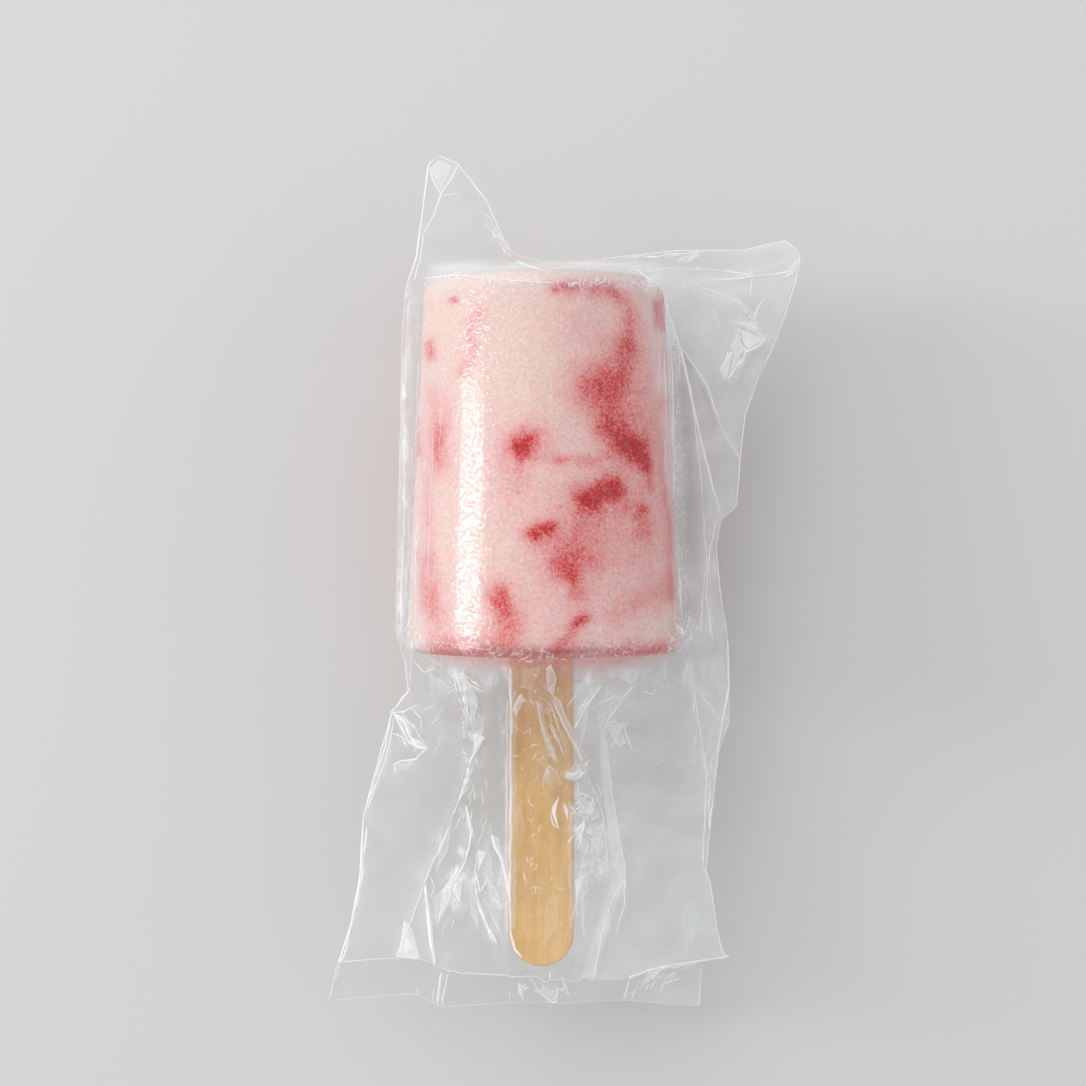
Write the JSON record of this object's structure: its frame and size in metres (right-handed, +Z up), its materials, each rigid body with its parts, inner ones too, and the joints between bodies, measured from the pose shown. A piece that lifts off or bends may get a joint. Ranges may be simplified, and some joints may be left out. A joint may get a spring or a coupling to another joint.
{
  "type": "ice pop in a clear bag",
  "caption": "Moulded cream and berry ripple ice pop on a flat wooden stick, lying on its side in a creased clear film bag, sealed at the narrow end and open past the stick",
  "frame": {"origin": "on the table, below the middle of the footprint", "axes": "+Y from the stick to the narrow sealed end, +X to the right seen from above with the stick towards the viewer, +Z up"},
  "size_m": [0.075, 0.135, 0.0441],
  "materials": {
    "frozen_cream": "frosty, pale pink cream with a red berry ripple",
    "birch": "bare, smooth",
    "film": "clear thin film, glossy, creased"
  },
  "bodies": {
    "root": {"pop": "frozen_cream", "stick": "birch", "bag": "film"}
  },
  "joints": []
}
